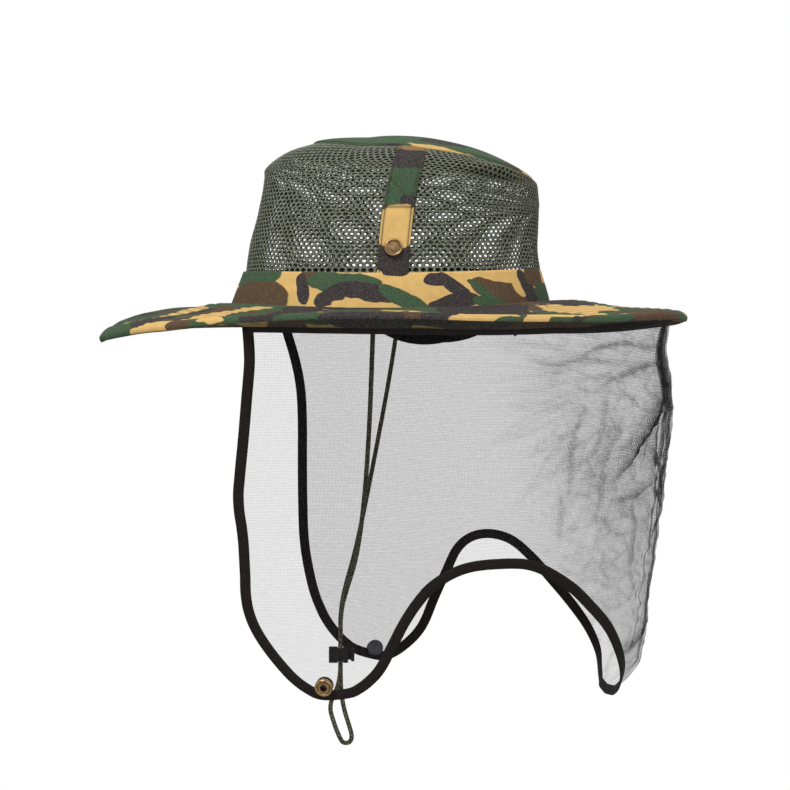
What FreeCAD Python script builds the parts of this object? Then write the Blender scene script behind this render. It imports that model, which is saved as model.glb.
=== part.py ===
import FreeCAD, Part
import math
import os
from FreeCAD import Placement, Rotation, Vector

# Wide-brimmed field hat with an open-mesh crown and a hanging head net.
# Millimetres. +Z is up, the wearer faces -X, and -Y is the wearer's left.
# The origin is the centre of the head opening, in the plane where crown and brim meet.

os.makedirs("parts", exist_ok=True)
doc = FreeCAD.newDocument("veil_hat")

# ---------------------------------------------------------------- dimensions
DIMENSIONS = {
    "head_half_length": 98.0, "head_half_width": 84.0,   # outside of the crown at its base
    "crown_wall": 1.2, "crown_height": 109.0,
    "rim_height": 24.0, "rim_half_length": 93.5, "rim_half_width": 80.0,
    "shoulder_height": 78.0, "shoulder_half_length": 87.0, "shoulder_half_width": 73.5,
    "seam_height": 96.0, "seam_half_length": 68.0, "seam_half_width": 57.0,
    "crown_lean": 4.0,                                   # the soft crown leans back
    "brim_half_length": 185.5, "brim_half_width": 171.5,
    "brim_drop": 11.5, "brim_ply": 1.0, "brim_bind": 1.5,
    "hatband_ply": 1.4, "strap_width": 19.0, "strap_ply": 1.5,
    "sweatband_ply": 1.5, "sweatband_drop": 3.5, "sweatband_height": 22.0,
    "net_ply": 0.8, "hem_width": 7.0, "hem_over": 0.6, "tape_drop": 22.0,
    "crease_gap": 3.0, "side_reach": 118.0,
    "snap_radius": 5.45, "stud_radius": 2.0, "stud_height": 3.0, "stud_level": 33.5,
    "shank_radius": 1.5, "socket_bore": 2.1, "socket_depth": 2.4, "barrel_radius": 2.8,
    "cord_radius": 1.45, "cord_pitch": 1.55,
    "lock_radius": 5.2, "lock_length": 12.0, "lock_bore": 4.4, "plunger_radius": 4.2,
    "neck_radius": 3.2, "plunger_head": 2.0, "plunger_travel": 1.8, "lock_level": 218.5,
}
sheet = doc.addObject("Spreadsheet::Sheet", "dims")
for row, (alias, value) in enumerate(DIMENSIONS.items(), start=1):
    sheet.set("A%d" % row, alias)
    sheet.set("B%d" % row, str(value))
    sheet.setAlias("B%d" % row, alias)
doc.recompute()
d = type("Dims", (), DIMENSIONS)                         # the same numbers for plain geometry


def bind(text):
    """An expression over the sheet: every word in it is one of the sheet's names."""
    words = "".join(c if c.isalnum() or c == "_" else " " for c in text).split()
    for word in sorted({w for w in words if w in DIMENSIONS}, key=len, reverse=True):
        text = text.replace(word, "dims." + word).replace("dims.dims.", "dims.")
    return text


def made(kind, label, **expressions):
    obj = doc.addObject(kind, label)
    obj.Label = label
    for name, text in expressions.items():
        obj.setExpression(name, bind(text))
    return obj


# ---------------------------------------------------------------- building blocks
def ellipse(label, half_length, half_width, height, shift="0"):
    obj = made("Part::Ellipse", label, MajorRadius=half_length, MinorRadius=half_width)
    obj.setExpression("Placement.Base.x", bind(shift))
    obj.setExpression("Placement.Base.z", bind(height))
    return obj


def loft(label, sections, closed=False):
    obj = made("Part::Loft", label)
    obj.Sections = sections
    obj.Ruled, obj.Solid, obj.Closed = True, True, closed
    return obj


def ring(label, corners):
    """A band whose cross-section is the polygon of the given corners, all round the head."""
    return loft(label, [ellipse("%s_edge%d" % (label, i), *c) for i, c in enumerate(corners)], True)


def shell(label, stages, inside, outside="0"):
    """A wall standing on the stages, from `outside` beyond them to `inside` within them."""
    out = [("%s + %s" % (a, outside), "%s + %s" % (b, outside), z, s) for a, b, z, s in stages]
    back = [("%s - %s" % (a, inside), "%s - %s" % (b, inside), z, s) for a, b, z, s in stages[::-1]]
    return ring(label, out + back)


def box(label, low, high):
    obj = made("Part::Box", label)
    obj.Length, obj.Width, obj.Height = [h - l for l, h in zip(low, high)]
    obj.Placement.Base = Vector(*low)
    return obj


def cylinder(label, radius, length, place):
    obj = made("Part::Cylinder", label, Radius=radius, Height=length)
    obj.Placement = place
    return obj


def cut(label, base, *tools):
    for i, tool in enumerate(tools):
        obj = made("Part::Cut", label if i == len(tools) - 1 else "%s_step%d" % (label, i))
        obj.Base, obj.Tool = base, tool
        base = obj
    return base


def common(label, *shapes):
    obj = made("Part::MultiCommon", label)
    obj.Shapes = list(shapes)
    return obj


def fuse(label, *shapes):
    obj = made("Part::MultiFuse", label)
    obj.Shapes = list(shapes)
    return obj


SIDEWAYS = Rotation(Vector(1, 0, 0), 90)                 # sketch x to +X, sketch y to +Z


def side_prism(label, geometry, near, far):
    """A side-view outline carried through from y = near to y = far."""
    sketch = made("Sketcher::SketchObject", label + "_outline")
    sketch.Placement = Placement(Vector(0, near, 0), SIDEWAYS)
    for piece in geometry:
        sketch.addGeometry(piece, False)
    obj = made("Part::Extrusion", label)
    obj.Base, obj.DirMode, obj.Dir = sketch, "Custom", Vector(0, 1, 0)
    obj.LengthFwd, obj.Solid = far - near, True
    return obj


def polyline(points):
    ends = [Vector(x, z, 0) for x, z in points]
    return [Part.LineSegment(a, b) for a, b in zip(ends, ends[1:] + ends[:1])]


# ---------------------------------------------------------------- crown
BASE = ("head_half_length", "head_half_width", "0", "0")
RIM = ("rim_half_length", "rim_half_width", "rim_height", "0")
SHOULDER = ("shoulder_half_length", "shoulder_half_width", "shoulder_height", "crown_lean")
SEAM = ("seam_half_length", "seam_half_width", "seam_height", "crown_lean")

STRAP_LINE = [(-0.5, 20.0), (1.0, 40.0), (3.4, 58.5), (11.6, 96.5)]   # leaning centre line
half = d.strap_width / 2
strap_outline = [(x - half, z) for x, z in STRAP_LINE] + [(x + half, z) for x, z in STRAP_LINE[::-1]]

lean = math.degrees(math.atan2(d.rim_half_width - d.shoulder_half_width,
                               d.shoulder_height - d.rim_height))
rise = (d.stud_level - d.rim_height) / (d.shoulder_height - d.rim_height)
wall_y = d.rim_half_width + rise * (d.shoulder_half_width - d.rim_half_width)


def stud_place(side, out):
    """A frame on the crown's side: local +Z points away from the head, square to the cloth."""
    axis = Vector(0, side * math.cos(math.radians(lean)), math.sin(math.radians(lean)))
    foot = Vector(0, side * wall_y, d.stud_level)
    return Placement(foot + axis * out, Rotation(Vector(0, 0, 1), axis)), axis


mesh_wall = shell("mesh_wall", [BASE, RIM, SHOULDER, SEAM], "crown_wall")
strap_wall = shell("strap_wall", [(RIM[0], RIM[1], "rim_height + 0.2", "0"), SHOULDER, SEAM],
                   "-0.1", "strap_ply + 0.1")
holes = {}
for name, side in (("left", -1), ("right", 1)):
    place, axis = stud_place(side, -6)
    holes[name] = cylinder("stud_hole_" + name, "shank_radius + 0.05", "14", place)

crown_mesh = cut("crown_mesh", mesh_wall, holes["left"], holes["right"])
mesh_join = 6.0                                          # where front and rear mesh are sewn together
common("crown_mesh_front", crown_mesh, box("mesh_front_half", (-120, -110, -5), (mesh_join, 110, 100)))
common("crown_mesh_rear", crown_mesh, box("mesh_rear_half", (mesh_join, -110, -5), (120, 110, 100)))

crown_seam_tape = ring("crown_seam_tape", [
    ("seam_half_length + 0.6", "seam_half_width + 0.6", "seam_height", "crown_lean"),
    ("seam_half_length + 0.6", "seam_half_width + 0.6", "seam_height + 2", "crown_lean"),
    ("seam_half_length - 3.5", "seam_half_width - 3.5", "seam_height + 2", "crown_lean"),
    ("seam_half_length - 3.5", "seam_half_width - 3.5", "seam_height", "crown_lean")])

domes = []
for label, less in (("dome_outside", "0"), ("dome_inside", "crown_wall")):
    dome = made("Part::Ellipsoid", label, Radius1="crown_height - seam_height - 2 - " + less,
                Radius2="seam_half_length - 1 - " + less, Radius3="seam_half_width - 1 - " + less)
    dome.Angle1 = 0
    dome.setExpression("Placement.Base.x", bind("crown_lean"))
    dome.setExpression("Placement.Base.z", bind("seam_height + 2"))
    domes.append(dome)
crown_top_panel = cut("crown_top_panel", *domes)

for name, side in (("left", -1), ("right", 1)):
    reach = sorted((side * 20, side * 120))
    strap = common("strap_blank_" + name, strap_wall,
                   side_prism("strap_band_" + name, polyline(strap_outline), *reach))
    cut("side_strap_" + name, strap, holes[name])

    # snap stud: a base ring with a raised lip, and the ball that a socket presses over
    seat = d.strap_ply + 0.25
    place, axis = stud_place(side, seat)
    base_disc = cylinder("stud_base_" + name, "snap_radius", "0.8", place)
    lip = made("Part::Torus", "stud_lip_" + name, Radius1="snap_radius - 0.8", Radius2="0.8")
    lip.Placement = stud_place(side, seat + 0.8)[0]
    ball = cylinder("stud_pin_" + name, "stud_radius", "stud_height", place)
    bored = cylinder("stud_bore_" + name, "shank_radius", "1.0", stud_place(side, seat - 0.5)[0])
    cut("crown_snap_stud_" + name, fuse("stud_solid_" + name, base_disc, lip, ball), bored)

    # its back: a flat head inside the crown and a shank through mesh and strap
    back = stud_place(side, -d.crown_wall - 1.25)[0]
    head = cylinder("post_head_" + name, "snap_radius - 0.6", "1.0", back)
    shank = cylinder("post_shank_" + name, "shank_radius", "%.3f" % (d.crown_wall + 1.25 + seat + 0.5), back)
    fuse("crown_snap_post_" + name, head, shank)

# ---------------------------------------------------------------- hatband and sweatband
hatband = shell("hatband", [BASE, RIM], "-0.1", "hatband_ply + 0.1")

sweatband = ring("sweatband", [
    ("head_half_length - 1.5", "head_half_width - 1.5", "-sweatband_drop", "0"),
    ("head_half_length - 5.9", "head_half_width - 5.5", "sweatband_height", "0"),
    ("head_half_length - 5.9 - sweatband_ply", "head_half_width - 5.5 - sweatband_ply",
     "sweatband_height", "0"),
    ("head_half_length - 1.5 - sweatband_ply", "head_half_width - 1.5 - sweatband_ply",
     "-sweatband_drop", "0")])

# loose lining that hangs out of the head opening: one lens each side and a small tab behind
lining_wall = ring("lining_wall", [
    ("head_half_length - 1.5", "head_half_width - 1.5", "-sweatband_drop", "0"),
    ("head_half_length - 1.5", "head_half_width - 1.5", "-40", "0"),
    ("head_half_length - 2.7", "head_half_width - 2.7", "-40", "0"),
    ("head_half_length - 2.7", "head_half_width - 2.7", "-sweatband_drop", "0")])


def lens(front, back, low, depth):
    """A sagging edge from x = front to x = back that reaches down to z = -depth at x = low."""
    sag = Part.BSplineCurve()
    sag.interpolate([Vector(front, 0, 0), Vector((front + low) / 2, -0.78 * depth, 0), Vector(low, -depth, 0),
                     Vector((low + back) / 2, -0.8 * depth, 0), Vector(back, 0, 0)])
    return [sag, Part.LineSegment(Vector(back, 0, 0), Vector(front, 0, 0))]


common("sweatband_flap_left", lining_wall, side_prism("flap_lens_left", lens(-24, 66, 16, 24.2), -100, -30))
common("sweatband_flap_right", lining_wall, side_prism("flap_lens_right", lens(-12, 74, 34, 19.5), 30, 100))
TAB = [(67.0, -2), (81.6, -2), (81.6, -12), (74.3, -18.8), (67.0, -12)]
common("sweatband_rear_tab", lining_wall, side_prism("tab_outline", polyline(TAB), -80, -30))

# ---------------------------------------------------------------- brim
INNER = ("head_half_length - 1.2", "head_half_width - 1.2")
OUTER = ("brim_half_length - brim_bind", "brim_half_width - brim_bind")
for label, top in (("brim_upper", 0), ("brim_interlining", 1), ("brim_lower", 2)):
    ring(label, [INNER + ("-%d * brim_ply" % top, "0"),
                 OUTER + ("-brim_drop - %d * brim_ply" % top, "0"),
                 OUTER + ("-brim_drop - %d * brim_ply" % (top + 1), "0"),
                 INNER + ("-%d * brim_ply" % (top + 1), "0")])

ring("brim_edge_binding", [
    ("brim_half_length", "brim_half_width", "-brim_drop + 0.5", "0"),
    ("brim_half_length", "brim_half_width", "-brim_drop - 3 * brim_ply - 0.5", "0"),
    OUTER + ("-brim_drop - 3 * brim_ply - 0.5", "0"),
    OUTER + ("-brim_drop + 0.5", "0")])

# everything above the brim's underside, to trim what is sewn to it
brim_block = loft("brim_block", [
    ellipse("block_top", "brim_half_length", "brim_half_width", "30"),
    ellipse("block_edge", OUTER[0], OUTER[1], "-brim_drop - 3 * brim_ply"),
    ellipse("block_middle", INNER[0], INNER[1], "-3 * brim_ply")])

# ---------------------------------------------------------------- head net
# The net hangs from the brim as flat panels. The long side panel lies in one plane, so that
# its front corner can fold about a straight crease: |y| = SIDE - SLOPE_X x - SLOPE_Z |z|.
SIDE, SLOPE_X, SLOPE_Z = 156.85, -0.1393, 0.2651
TURN, BACK_TURN = 0.621, 1.25                            # how fast the next two panels close in


def side_y(x, z):
    return SIDE - SLOPE_X * x + SLOPE_Z * z


def veil_section(label, z, x1, x2, x3):
    y1 = side_y(x1, z)
    y2 = y1 - TURN * (x2 - x1)
    y3 = y2 - BACK_TURN * (x3 - x2)
    near = [(-130, -side_y(-130, z)), (x1, -y1), (x2, -y2), (x3, -y3)]
    sketch = made("Sketcher::SketchObject", label)
    sketch.Placement.Base = Vector(0, 0, z)
    for piece in polyline(near + [(x, -y) for x, y in near[::-1]]):
        sketch.addGeometry(piece, False)
    return sketch


sections = [veil_section("veil_top", -5.0, 40, 135, 172),
            veil_section("veil_middle", -150.0, 60, 125, 168),
            veil_section("veil_bottom_section", -245.0, 90, 120, 140)]


def veil_wall(label, outside, inside):
    offsets = []
    for tag, value, order in (("out", outside, sections), ("in", inside, sections[::-1])):
        for i, section in enumerate(order):
            offset = made("Part::Offset2D", "%s_%s%d" % (label, tag, i), Value=value)
            offset.Source, offset.Mode, offset.Join = section, "Pipe", "Intersection"
            offsets.append(offset)
    return loft(label, offsets, True)


net_wall = veil_wall("net_wall", "-0.001", "-net_ply")
hem_wall = veil_wall("hem_wall", "hem_over", "-net_ply - hem_over")

# the free edge, front top corner to back bottom corner, seen from the side
HEM = {
    "left": [(-87, 10), (-87, -17), (-86, -34), (-88, -54), (-90, -80), (-93, -103), (-94, -120),
             (-92, -138), (-91, -160), (-90, -177), (-85, -193), (-75, -210), (-60, -227), (-45, -235),
             (-32, -237), (-19, -232), (-6, -220), (2, -205), (9, -191), (16, -179), (26, -168),
             (42, -159), (62, -156), (81, -157), (101, -169), (115, -182), (125, -194), (131, -207),
             (134, -221), (137, -241)],
    "right": [(-80, 10), (-78, -12), (-71, -31), (-67, -50), (-66, -72), (-66, -98), (-65, -125),
              (-64, -152), (-61, -173), (-55, -192), (-46, -210), (-33, -224), (-18, -232), (-3, -232),
              (11, -224), (22, -212), (31, -193), (39, -176), (46, -162), (54, -155), (65, -153),
              (77, -156), (91, -167), (103, -180), (119, -199), (129, -214), (134, -226), (135, -241)],
}
# a crease across each front corner, from the front edge to the shoulder arch
CREASE = {"left": ((-88.0, -26.0), (24.0, -183.0)), "right": ((-73.0, -26.0), (34.0, -180.0))}
SNAP_AT = {"left": (-41.0, -227.5), "right": (-12.5, -224.5)}


def hem_face(points, inset):
    """The net's side view: the free edge moved in by `inset`, closed above and behind the net."""
    curve = Part.BSplineCurve()
    curve.interpolate([Vector(x, z, 0) for x, z in points])
    moved = []
    for x, z in points:
        along = curve.tangent(curve.parameter(Vector(x, z, 0)))[0]
        moved.append(Vector(x, z, 0) + Vector(-along.y, along.x, 0) * inset)
    moved[-1] = Vector(points[-1][0] + inset, points[-1][1] + inset, 0)
    edge = Part.BSplineCurve()
    edge.interpolate(moved)
    ends = [moved[-1], Vector(210, moved[-1].y, 0), Vector(210, moved[0].y, 0), moved[0]]
    return [edge] + [Part.LineSegment(a, b) for a, b in zip(ends, ends[1:])]


def crease_block(label, name, side, shift):
    """Everything in front of and below one side's crease, moved by `shift` away from it."""
    (x0, z0), (x1, z1) = CREASE[name]
    along = Vector(x1 - x0, 0, z1 - z0).normalize()
    away = Vector(along.z, 0, -along.x)
    obj = made("Part::Box", label)
    obj.Length, obj.Width, obj.Height = 600, 200, 400
    start = Vector(x0, 200 if side > 0 else 0, z0) - along * 200 + away * shift
    obj.Placement = Placement(start, Rotation(along, Vector(0, -1, 0), away, "XYZ"))
    return obj


reach_x = d.side_reach
below_tape = box("below_tape", (-200, -200, -260), (220, 200, -d.tape_drop))
above_tape = box("above_tape", (-200, -200, -d.tape_drop), (220, 200, 5))
front_part = box("front_part", (-200, -200, -260), (reach_x, 200, 5))
rear_part = box("rear_part", (reach_x, -200, -260), (220, 200, 5))
tapes, rear_nets, rear_hems, snap_axis = [], [], [], {}

for name, side in (("left", -1), ("right", 1)):
    reach = sorted((0, side * 200))
    whole = side_prism("veil_face_" + name, hem_face(HEM[name], 0), *reach)
    inner = side_prism("net_face_" + name, hem_face(HEM[name], d.hem_width), *reach)
    fold = crease_block("fold_block_" + name, name, side, d.crease_gap / 2)
    stay = crease_block("stay_block_" + name, name, side, -d.crease_gap / 2)

    # the snap sits on the hem, square to the side panel
    x, z = SNAP_AT[name]
    out = Vector(SLOPE_X, side, -SLOPE_Z).normalize()
    foot = Vector(x, side * side_y(x, z), z)
    snap_axis[name] = (foot, out)
    turn = Rotation(Vector(0, 0, 1), out)
    hole = cylinder("snap_hole_" + name, "barrel_radius + 0.1", "12", Placement(foot - out * 6, turn))

    tapes.append(common("tape_part_" + name, hem_wall, whole, above_tape))
    net = common("net_half_" + name, net_wall, inner, below_tape)
    hem = cut("hem_half_" + name, common("hem_whole_" + name, hem_wall, whole, below_tape), inner)
    cut("net_%s_corner" % name, common("net_fold_" + name, net, fold), hole)
    cut("hem_%s_corner" % name, common("hem_fold_" + name, hem, fold), hole)
    cut("net_%s_side" % name, common("net_front_" + name, net, front_part), stay)
    arch = box("arch_part_" + name, (0, -200, -260), (reach_x, 200, -60))
    cut("hem_%s_arch" % name, common("hem_front_" + name, hem, arch), stay)
    rear_nets.append(common("net_back_" + name, net, rear_part))
    rear_hems.append(common("hem_back_" + name, hem, rear_part))

    # socket outside, cap inside with its barrel through the hem
    over = d.hem_over + 0.05
    seat = Placement(foot + out * over, turn)
    body = cylinder("socket_body_" + name, "snap_radius", "socket_depth - 0.9", seat)
    rim = made("Part::Torus", "socket_rim_" + name, Radius1="snap_radius - 0.9", Radius2="0.9")
    rim.Placement = Placement(foot + out * (over + d.socket_depth - 0.9), turn)
    crown = cylinder("socket_middle_" + name, "3.4", "socket_depth", seat)
    bore = cylinder("socket_hole_" + name, "socket_bore", "8", Placement(foot + out * (over - 3), turn))
    cut("snap_socket_" + name, fuse("socket_solid_" + name, body, rim, crown), bore)
    under = d.net_ply + d.hem_over + 0.05 + 1.2
    back = Placement(foot - out * under, turn)
    cap = cylinder("cap_disc_" + name, "snap_radius - 0.2", "1.2", back)
    fuse("snap_cap_" + name, cap, cylinder("cap_barrel_" + name, "barrel_radius", "%.3f" % under, back))

veil_top_tape = cut("veil_top_tape", fuse("tape_whole", *tapes), brim_block)
fuse("net_rear", *rear_nets)
fuse("hem_rear", *rear_hems)

# ---------------------------------------------------------------- chin cord and cord lock
LOCK_X = -34.7
CORD_X = LOCK_X + 1.2                                    # where both runs pass through the lock
lock_z, gap = -d.lock_level, d.cord_pitch
ROUTE = [(-12.0, -86.4, -10.2), (-12.8, -78.0, -34.0), (-14.5, -62.0, -74.0), (-17.5, -41.0, -116.0),
         (-22.5, -18.0, -155.0), (-29.5, -5.5, -177.0), (CORD_X, -gap, -192.0),
         (CORD_X + 0.06, -gap, -214.0), (CORD_X, -gap, -236.0), (-41.0, -gap - 0.3, -250.0),
         (-37.2, -gap - 0.5, -262.5), (-34.0, -gap - 0.3, -270.5), (-31.8, -0.8, -274.3),
         (-27.5, 0.8, -274.3), (-26.0, gap, -270.2), (-28.3, gap + 0.4, -262.8),
         (-31.5, gap + 0.3, -252.5), (-33.4, gap, -240.0), (CORD_X, gap, -222.0),
         (CORD_X + 0.06, gap, -207.0), (CORD_X, gap, -192.0), (-31.0, 4.5, -177.0),
         (-24.4, 19.0, -155.0), (-16.0, 41.0, -114.0), (-8.0, 61.0, -72.0), (-1.0, 77.5, -33.0),
         (2.3, 86.4, -10.2)]


def cord_path(points):
    """Straight runs joined by tangent arcs, and the tightest radius among them."""
    pts = [Vector(*p) for p in points]
    edges, start, radii = [], pts[0], []
    for before, here, after in zip(pts, pts[1:], pts[2:]):
        a, b = (before - here), (after - here)
        shorter = min(a.Length, b.Length)
        a.normalize()
        b.normalize()
        turn = math.pi - a.getAngle(b)
        back = 0.45 * shorter
        radius = back / math.tan(turn / 2)
        radii.append(radius)
        first, last = here + a * back, here + b * back
        centre = here + (a + b).normalize() * (radius / math.cos(turn / 2))
        middle = centre + (here - centre).normalize() * radius
        edges += [Part.makeLine(start, first), Part.Arc(first, middle, last).toShape()]
        start = last
    edges.append(Part.makeLine(start, pts[-1]))
    return Part.Wire(edges), radii


def swept(label, path, radius, at, along):
    profile = made("Part::Circle", label + "_section", Radius=radius)
    profile.Placement = Placement(at, Rotation(Vector(0, 0, 1), along))
    obj = made("Part::Sweep", label)
    obj.Sections, obj.Spine = [profile], (path, [])
    obj.Solid, obj.Frenet, obj.Transition = True, False, "Right corner"
    return obj


wire, radii = cord_path(ROUTE)
path = made("Part::Feature", "chin_cord_path")           # a free route has no simpler feature
path.Shape = wire
start, second = Vector(*ROUTE[0]), Vector(*ROUTE[1])
chin_cord = swept("chin_cord", path, "cord_radius", start, second - start)

# each end sits in a blind hole of a small tab sewn under the brim
for name, end, after in (("left", ROUTE[0], ROUTE[1]), ("right", ROUTE[-1], ROUTE[-2])):
    x, y, z = end
    tab = box("anchor_blank_" + name, (x - 3.5, y - 2.4, z - 1.5), (x + 3.5, y + 2.4, 2))
    away = (Vector(*after) - Vector(*end)).normalize()
    room = Placement(Vector(*end) - away * 0.05, Rotation(Vector(0, 0, 1), away))
    hole = cylinder("anchor_hole_" + name, "cord_radius + 0.08", "8", room)
    cut("cord_anchor_" + name, tab, brim_block, hole)

# barrel along X; both cord runs pass down through it
ALONG_X = Rotation(Vector(0, 0, 1), Vector(1, 0, 0))
left_end = LOCK_X - d.lock_length / 2


def barrel(label, radius, x0, x1):
    return cylinder(label, radius, "%.3f" % (x1 - x0), Placement(Vector(x0, 0, lock_z), ALONG_X))


slot_half = (d.cord_radius + 0.3, d.cord_pitch + d.cord_radius + 0.25)
body_slot = box("lock_slot", (CORD_X - slot_half[0], -slot_half[1], lock_z - 8),
                (CORD_X + slot_half[0], slot_half[1], lock_z + 8))
cut("cord_lock_body", barrel("lock_shell", "lock_radius", left_end, left_end + d.lock_length),
    barrel("lock_chamber", "lock_bore", left_end + 1.0, left_end + d.lock_length + 1), body_slot)

plunger_left = CORD_X - slot_half[0] - 1.2
plunger_right = CORD_X + slot_half[0] + d.plunger_travel + 0.85
head_left = left_end + d.lock_length + 2.0
plunger_slot = box("plunger_slot", (CORD_X - slot_half[0], -slot_half[1], lock_z - 8),
                   (CORD_X + slot_half[0] + d.plunger_travel, slot_half[1], lock_z + 8))
cut("cord_lock_plunger", fuse("plunger_solid",
                              barrel("plunger_core", "plunger_radius", plunger_left, plunger_right),
                              barrel("plunger_neck", "neck_radius", plunger_right - 0.5, head_left + 0.5),
                              barrel("plunger_cap", "plunger_radius", head_left, head_left + d.plunger_head)),
    plunger_slot)

# the return spring, a coil made of short straight steps
TURNS, STEPS, WIRE = 2.5, 16, 0.25
coil_left = left_end + 1.0 + WIRE + 0.03
coil_rise = plunger_left - coil_left - WIRE - 0.03
coil_points = []
for i in range(int(TURNS * STEPS) + 1):
    angle = 2 * math.pi * i / STEPS
    across = Vector(0, d.neck_radius * math.cos(angle), d.neck_radius * math.sin(angle))
    coil_points.append(Vector(coil_left + coil_rise * i / (TURNS * STEPS), 0, lock_z) + across)
coil = made("Part::Feature", "spring_line")
coil.Shape = Part.makePolygon(coil_points)
swept("cord_lock_spring", coil, str(WIRE), coil_points[0], coil_points[1] - coil_points[0])

# ---------------------------------------------------------------- check and export
NODES = ["crown_top_panel", "crown_seam_tape", "crown_mesh_front", "crown_mesh_rear",
         "side_strap_left", "side_strap_right", "crown_snap_stud_left", "crown_snap_stud_right",
         "crown_snap_post_left", "crown_snap_post_right", "hatband", "sweatband",
         "sweatband_flap_left", "sweatband_flap_right", "sweatband_rear_tab",
         "brim_upper", "brim_interlining", "brim_lower", "brim_edge_binding", "veil_top_tape",
         "net_left_side", "net_right_side", "net_rear", "hem_left_arch", "hem_right_arch", "hem_rear",
         "net_left_corner", "hem_left_corner", "snap_socket_left", "snap_cap_left",
         "net_right_corner", "hem_right_corner", "snap_socket_right", "snap_cap_right",
         "cord_anchor_left", "cord_anchor_right", "chin_cord",
         "cord_lock_body", "cord_lock_plunger", "cord_lock_spring"]

doc.recompute()
for obj in doc.Objects:
    if "Invalid" in obj.State or "Error" in obj.State:
        print("BROKEN", obj.Label, obj.State)
by_label = {o.Label: o for o in doc.Objects}
for label in NODES:
    shape = by_label[label].Shape
    if shape.isNull() or not shape.isValid():
        print("BAD SHAPE", label)
        continue
    b = shape.optimalBoundingBox(True, False)
    print("%-22s solids %d faces %3d volume %9.1f  x %7.1f %7.1f  y %7.1f %7.1f  z %7.1f %7.1f" % (
        label, len(shape.Solids), len(shape.Faces), shape.Volume,
        b.XMin, b.XMax, b.YMin, b.YMax, b.ZMin, b.ZMax))
    shape.exportStep("parts/%s.step" % label)

runs = [(Vector(*q) - Vector(*p)).Length for p, q in zip(ROUTE, ROUTE[1:])]
print("cord runs", [round(r, 1) for r in runs])
print("cord length %.1f  volume ratio %.4f" % (
    wire.Length, chin_cord.Shape.Volume / (math.pi * d.cord_radius ** 2 * wire.Length)))
print("cord bend radii", [round(r, 1) for r in radii])
for name, (foot, out) in snap_axis.items():
    print("snap", name, [round(c, 3) for c in foot], [round(c, 4) for c in out])
    (x0, z0), (x1, z1) = CREASE[name]
    side = -1 if name == "left" else 1
    half_net = d.net_ply / 2
    ends = [Vector(x, side * (side_y(x, z) - half_net), z) for x, z in CREASE[name]]
    print("crease", name, [round(c, 3) for c in ends[0]], [round(c, 4) for c in (ends[1] - ends[0]).normalize()])
for side in (-1, 1):
    place, axis = stud_place(side, d.strap_ply + 0.25)
    print("stud", side, [round(c, 3) for c in place.Base], [round(c, 4) for c in axis])
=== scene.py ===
import math

import bpy
import numpy as np
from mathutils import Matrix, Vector, noise


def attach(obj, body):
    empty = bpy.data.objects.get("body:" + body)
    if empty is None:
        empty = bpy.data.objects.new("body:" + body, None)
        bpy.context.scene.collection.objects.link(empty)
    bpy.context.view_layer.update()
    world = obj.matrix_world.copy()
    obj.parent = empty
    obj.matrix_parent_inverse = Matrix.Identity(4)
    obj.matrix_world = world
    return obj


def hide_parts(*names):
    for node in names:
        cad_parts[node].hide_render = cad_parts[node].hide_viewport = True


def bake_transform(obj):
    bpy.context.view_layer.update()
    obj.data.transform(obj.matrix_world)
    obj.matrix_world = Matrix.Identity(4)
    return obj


# Field hat with a mesh crown and a hanging head net. The wearer faces -X and the camera
# stands on the wearer's left, at -Y. Plain numbers are millimetres; MM turns them to metres.
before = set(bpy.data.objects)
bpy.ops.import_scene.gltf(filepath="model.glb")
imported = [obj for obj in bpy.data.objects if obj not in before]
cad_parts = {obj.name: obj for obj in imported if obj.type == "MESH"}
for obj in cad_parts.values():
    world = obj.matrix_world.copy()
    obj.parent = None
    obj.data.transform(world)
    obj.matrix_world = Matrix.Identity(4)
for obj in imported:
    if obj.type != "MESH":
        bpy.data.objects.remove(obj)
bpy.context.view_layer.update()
MM = 0.001
RNG = np.random.default_rng(11)


# -------------------- camera and light
CAMERA_AT = (0.001, -1.5, -0.0544)  # metres
SENSOR, LENS = 36.0, 108.15


def add_camera():
    data = bpy.data.cameras.new("camera")
    data.sensor_width = SENSOR
    data.lens = LENS
    camera = bpy.data.objects.new("camera", data)
    camera.location = CAMERA_AT
    camera.rotation_euler = (math.pi / 2, 0, 0)
    bpy.context.collection.objects.link(camera)
    bpy.context.scene.camera = camera


def add_area(name, place, target, size, power):
    data = bpy.data.lights.new(name, "AREA")
    data.energy = power
    data.size = size
    lamp = bpy.data.objects.new(name, data)
    lamp.location = place
    lamp.rotation_euler = (Vector(target) - Vector(place)).to_track_quat("-Z", "Y").to_euler()
    bpy.context.collection.objects.link(lamp)


def glowing_paper():
    paper = bpy.data.materials.new("paper")
    paper.use_nodes = True
    shader = paper.node_tree.nodes["Principled BSDF"]
    shader.inputs["Base Color"].default_value = (0, 0, 0, 1)
    shader.inputs["Roughness"].default_value = 1.0
    shader.inputs["Specular IOR Level"].default_value = 0.0
    shader.inputs["Emission Color"].default_value = (1, 1, 1, 1)
    shader.inputs["Emission Strength"].default_value = 1.0
    return paper


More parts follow.
